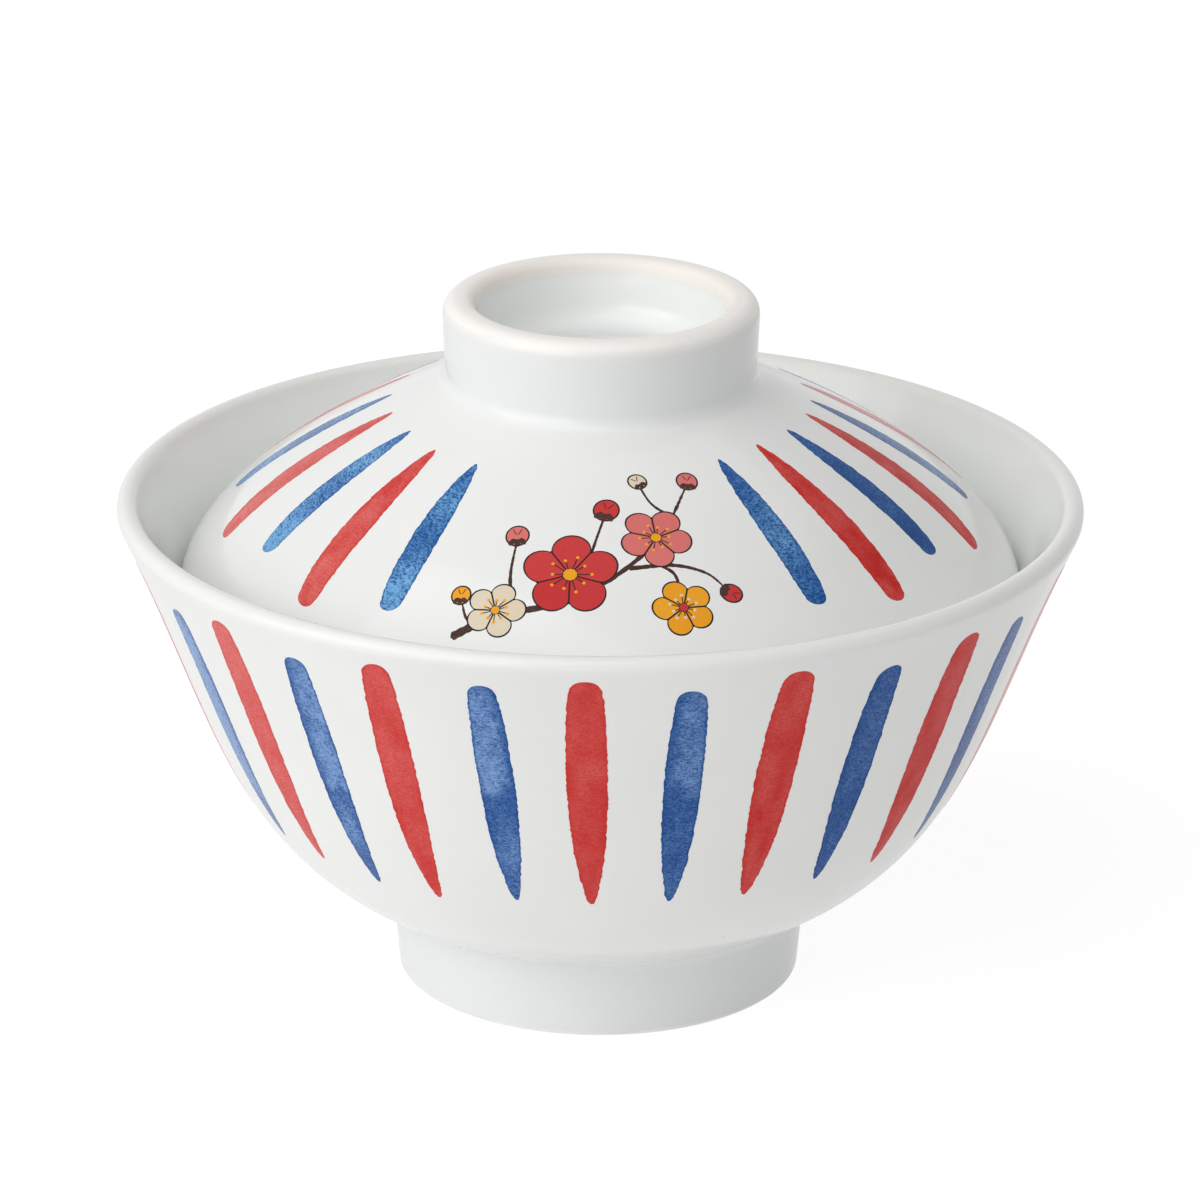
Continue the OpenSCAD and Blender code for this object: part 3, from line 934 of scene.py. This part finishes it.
def hair(s0, phi0, x0, y0, x1, y1, width, height):
    """A straight ink line between two places of a blossom or bud, in metres."""
    u = np.linspace(0, 1, HAIR_ROWS)
    length = math.hypot(x1 - x0, y1 - y0)
    nx, ny = -(y1 - y0) / length, (x1 - x0) / length
    v = np.linspace(-1, 1, HAIR_COLS)
    px = (x0 + (x1 - x0) * u)[:, None] + nx * v * width / 2
    py = (y0 + (y1 - y0) * u)[:, None] + ny * v * width / 2
    s = s0 - py
    spray.strip(s, phi0 + px / lid_side.radius(s), np.full(s.shape, 0.5), height, INK)


def divided(a, b):
    """Points strictly between a and b, so that a long side follows the dome."""
    return np.linspace(a, b, PETAL_SIDE_POINTS)[1:-1]


def petal_reach(a):
    """Share of the blossom's radius from its middle to its edge, at the angle a from a petal's middle."""
    d = (a + HALF_PETAL) % (TURN / PETALS) - HALF_PETAL
    return PETAL_PLACE * np.cos(d) + np.sqrt(np.maximum(PETAL_ROUND**2 - (PETAL_PLACE * np.sin(d)) ** 2, 0.0))


def petal(s0, phi0, big, turn, mid, mat):
    """One petal of a blossom turned by turn, about the angle mid, with half a line left free at each side."""
    a = np.linspace(-HALF_PETAL, HALF_PETAL, PETAL_POINTS)
    out = big * petal_reach(mid + a - turn)
    gap = LINE * 0.5
    turn_in = np.where(np.abs(a) > HALF_PETAL - gap / out, (HALF_PETAL - gap / out) * np.sign(a), a)
    ox, oy = out * np.cos(mid + turn_in), out * np.sin(mid + turn_in)
    inner = big * PETAL_START
    b = np.linspace(HALF_PETAL - gap / inner, -(HALF_PETAL - gap / inner), PETAL_FOOT_POINTS)
    ix, iy = inner * np.cos(mid + b), inner * np.sin(mid + b)
    px = np.r_[ox, divided(ox[-1], ix[0]), ix, divided(ix[-1], ox[0])]
    py = np.r_[oy, divided(oy[-1], iy[0]), iy, divided(iy[-1], oy[0])]
    spray.blob(s0, phi0, px, py, H_FILL, mat, tone=spray_rng.uniform(0.2, 0.8), rings=4)


def blossom(x, r, radius, turn, mat, centre_mat=GOLD):
    """An open blossom with its middle at (x, r): ink behind, five petals, a centre and ten stamens."""
    s0, phi0 = spot(x, r)
    big = radius * MM
    around = circle(EDGE_POINTS)
    edge = big * petal_reach(around - turn) + LINE
    spray.blob(s0, phi0, edge * np.cos(around), edge * np.sin(around), H_INK, INK, rings=5)
    for k in range(PETALS):
        petal(s0, phi0, big, turn, turn + k * TURN / PETALS, mat)
    centre_r = radius * CENTRE_SHARE
    disc(x, r, centre_r, H_CENTRE, centre_mat)
    for k in range(STAMENS):
        a = turn + math.pi / STAMENS + k * TURN / STAMENS
        long = STAMEN_SHARES[k % 2]
        x0, x1 = centre_r * math.cos(a) * STAMEN_START, radius * long * math.cos(a)
        y0, y1 = centre_r * math.sin(a) * STAMEN_START, radius * long * math.sin(a)
        hair(s0, phi0, x0 * MM, y0 * MM, x1 * MM, y1 * MM, STAMEN_WIDTH, H_STAMEN)
        dot = circle(DOT_POINTS)
        px, py = x1 * MM + STAMEN_DOT * np.cos(dot), y1 * MM + STAMEN_DOT * np.sin(dot)
        spray.blob(s0, phi0, px, py, H_DOT, GOLD if mat != GOLD else CREAM, rings=1)


def bud(x, r, radius, mat, stem):
    """A closed bud: stem is the direction from its middle to its stalk."""
    disc(x, r, radius + LINE / MM, H_INK, INK, BUD_SQUASH, stem)
    disc(x, r, radius, H_FILL, mat, BUD_SQUASH, stem)
    s0, phi0 = spot(x, r)
    for side in (-1, 1):
        a = stem + math.pi + CREASE_TURN * side
        x1, y1 = radius * CREASE_SHARE * math.cos(a), radius * CREASE_SHARE * math.sin(a)
        hair(s0, phi0, 0.1 * x1 * MM, 0.1 * y1 * MM, x1 * MM, y1 * MM, CREASE_WIDTH, H_CENTRE)
    loop = circle(SEPAL_POINTS)
    for side, height in ((-1, H_STAMEN), (0, H_DOT), (1, H_STAMEN + LAYER)):
        a = stem + SEPAL_TURN * side
        along = radius * (SEPAL_PLACE + SEPAL_LONG * np.cos(loop))
        off = radius * SEPAL_WIDE * np.sin(loop)
        px, py = along * math.cos(a) - off * math.sin(a), along * math.sin(a) + off * math.cos(a)
        spray.blob(s0, phi0, px * MM, py * MM, height, BARK, rings=1)


MAIN_TWIG = [(-23.4, 61.6), (-15.5, 58.2), (-5.5, 55.8), (3.0, 51.5), (9.5, 45.5), (13.5, 37.6)]
twig(MAIN_TWIG, 1.45, 0.38, 0.14, 110)
twig([(-13.6, 57.6), (-13.9, 52.6), (-13.0, 47.2)], 0.75, 0.3, 0.08, 40)
twig([(4.2, 50.8), (11.0, 50.6), (16.4, 52.2), (19.7, 54.8)], 0.85, 0.3, 0.08, 50)
twig([(-2.8, 54.8), (-1.5, 49.0), (0.7, 41.9)], 0.7, 0.3, 0.07, 40)
twig([(11.3, 42.8), (8.0, 40.2), (6.0, 36.8)], 0.6, 0.28, 0.07, 30)
twig([(-19.2, 59.9), (-20.9, 59.0), (-21.6, 57.2)], 0.6, 0.3, 0.07, 24)
twig([(9.4, 50.5), (11.6, 52.2), (12.6, 55.5)], 0.62, 0.45, 0.07, 24)
blossom(-4.6, 51.8, 7.3, 0.35, RED)
blossom(8.6, 46.0, 5.5, 0.95, CORAL)
blossom(-16.2, 57.6, 4.6, 0.1, CREAM)
blossom(12.9, 56.9, 4.7, 0.6, GOLD, RED)
bud(-12.9, 46.2, 1.8, CORAL, -1.35)
bud(0.9, 41.0, 2.0, RED, -1.85)
bud(20.6, 55.6, 1.6, RED, 2.5)
bud(13.7, 36.6, 1.65, CORAL, -1.8)
bud(5.7, 35.9, 1.4, CREAM, -1.1)
bud(-21.8, 56.2, 1.5, GOLD, -1.4)
spray.build("lid_blossom_spray", [pigment(*colours) for colours in SPRAY_COLOURS], "lid")

# Floor, light and camera


def seen_by(nt, *rays):
    """1 for the named kinds of ray."""
    path = node(nt, "ShaderNodeLightPath")
    seen = 0.0
    for ray in rays:
        seen = math_node(nt, "MAXIMUM", path.outputs[ray], seen)
    return seen


# The floor ends where the lamps still light it white, and the white world carries on from there
FLOOR_RADIUS, FLOOR_SIDES = 1.25, 96
# Diffuse colour and glow of the floor, and the glow's share for the camera, for mirrored and for all rays
PAPER, FLOOR_GLOW = 0.86, 1.25
CAMERA_SHARE, MIRROR_SHARE, ALL_SHARE = 0.44, 0.2, 0.235
# Strength of the world as a light, and as it is seen
WORLD_LIGHT, WORLD_SEEN = 0.35, 1.0
WHITE = (1.0, 1.0, 1.0, 1.0)
MIDDLE = (0, 0, 0.06)
CAMERA_RAY, MIRROR_RAYS = "Is Camera Ray", ("Is Glossy Ray", "Is Transmission Ray")


def make_floor():
    mat = bpy.data.materials.new("floor_white")
    nt = empty_tree(mat)
    paper = node(nt, "ShaderNodeBsdfDiffuse", {"Color": (PAPER, PAPER, PAPER, 1.0)})
    glow = node(nt, "ShaderNodeEmission", {"Color": WHITE, "Strength": FLOOR_GLOW})
    direct = math_node(nt, "MULTIPLY", seen_by(nt, CAMERA_RAY), CAMERA_SHARE)
    mirrored = math_node(nt, "MULTIPLY", seen_by(nt, *MIRROR_RAYS), MIRROR_SHARE)
    part = math_node(nt, "ADD", math_node(nt, "MAXIMUM", direct, mirrored), ALL_SHARE)
    both = node(nt, "ShaderNodeMixShader", {0: part, 1: paper.outputs[0], 2: glow.outputs[0]})
    node(nt, "ShaderNodeOutputMaterial", {"Surface": both.outputs[0]})
    ring = [TURN * i / FLOOR_SIDES for i in range(FLOOR_SIDES)]
    mesh = bpy.data.meshes.new("floor")
    mesh.from_pydata([(FLOOR_RADIUS * math.cos(a), FLOOR_RADIUS * math.sin(a), 0) for a in ring], [],
                     [tuple(range(FLOOR_SIDES))])
    mesh.materials.append(mat)
    obj = add_object("floor", mesh)


def make_world():
    world = bpy.data.worlds.new("studio")
    bpy.context.scene.world = world
    nt = empty_tree(world)
    light = node(nt, "ShaderNodeBackground", {"Color": WHITE, "Strength": WORLD_LIGHT})
    seen = node(nt, "ShaderNodeBackground", {"Color": WHITE, "Strength": WORLD_SEEN})
    ray_seen = seen_by(nt, CAMERA_RAY, *MIRROR_RAYS)
    mixed = node(nt, "ShaderNodeMixShader", {0: ray_seen, 1: light.outputs[0], 2: seen.outputs[0]})
    node(nt, "ShaderNodeOutputWorld", {"Surface": mixed.outputs[0]})


def area_light(name, place, size, energy, colour=(1, 1, 1)):
    """A rectangular lamp that faces the middle of the bowl; its energy is in watts."""
    data = bpy.data.lights.new(name, "AREA")
    data.shape = "RECTANGLE"
    data.size, data.size_y = size
    data.energy = energy
    data.color = colour
    obj = add_object(name, data)
    obj.location = place
    obj.rotation_mode = "QUATERNION"
    obj.rotation_quaternion = (Vector(MIDDLE) - Vector(place)).to_track_quat("-Z", "Y")


make_floor()
make_world()
area_light("key_low", (-0.976, -0.735, 0.505), (1.6, 0.95), 6.0)
area_light("key_high", (-0.615, -0.615, 1.026), (1.4, 1.4), 6.7)
area_light("top", (0.0, 0.0, 1.2), (1.5, 1.5), 2.1)
area_light("fill_right", (1.12, -0.25, 0.30), (0.7, 0.3), 0.35, (1.0, 0.98, 0.95))

# The camera that took the photograph, as fitted to the rims, rings and silhouettes: metres and degrees
CAMERA_PLACE = (0.0, -1.007, 0.4348)
CAMERA_PITCH = 20.286
CAMERA_ROLL = 0.265
LENS_MM, SENSOR_MM = 199.4, 36.0
NEAREST, FARTHEST = 0.05, 20.0

camera_data = bpy.data.cameras.new("camera")
camera_data.sensor_width, camera_data.lens = SENSOR_MM, LENS_MM
camera_data.clip_start, camera_data.clip_end = NEAREST, FARTHEST
camera = add_object("camera", camera_data)
camera.location = CAMERA_PLACE
camera.rotation_mode = "QUATERNION"
pitch, roll = math.radians(90 - CAMERA_PITCH), math.radians(CAMERA_ROLL)
camera.rotation_quaternion = Quaternion((1, 0, 0), pitch) @ Quaternion((0, 0, 1), roll)
bpy.context.scene.camera = camera
bpy.context.scene.view_settings.view_transform = "Standard"

bpy.context.view_layer.update()
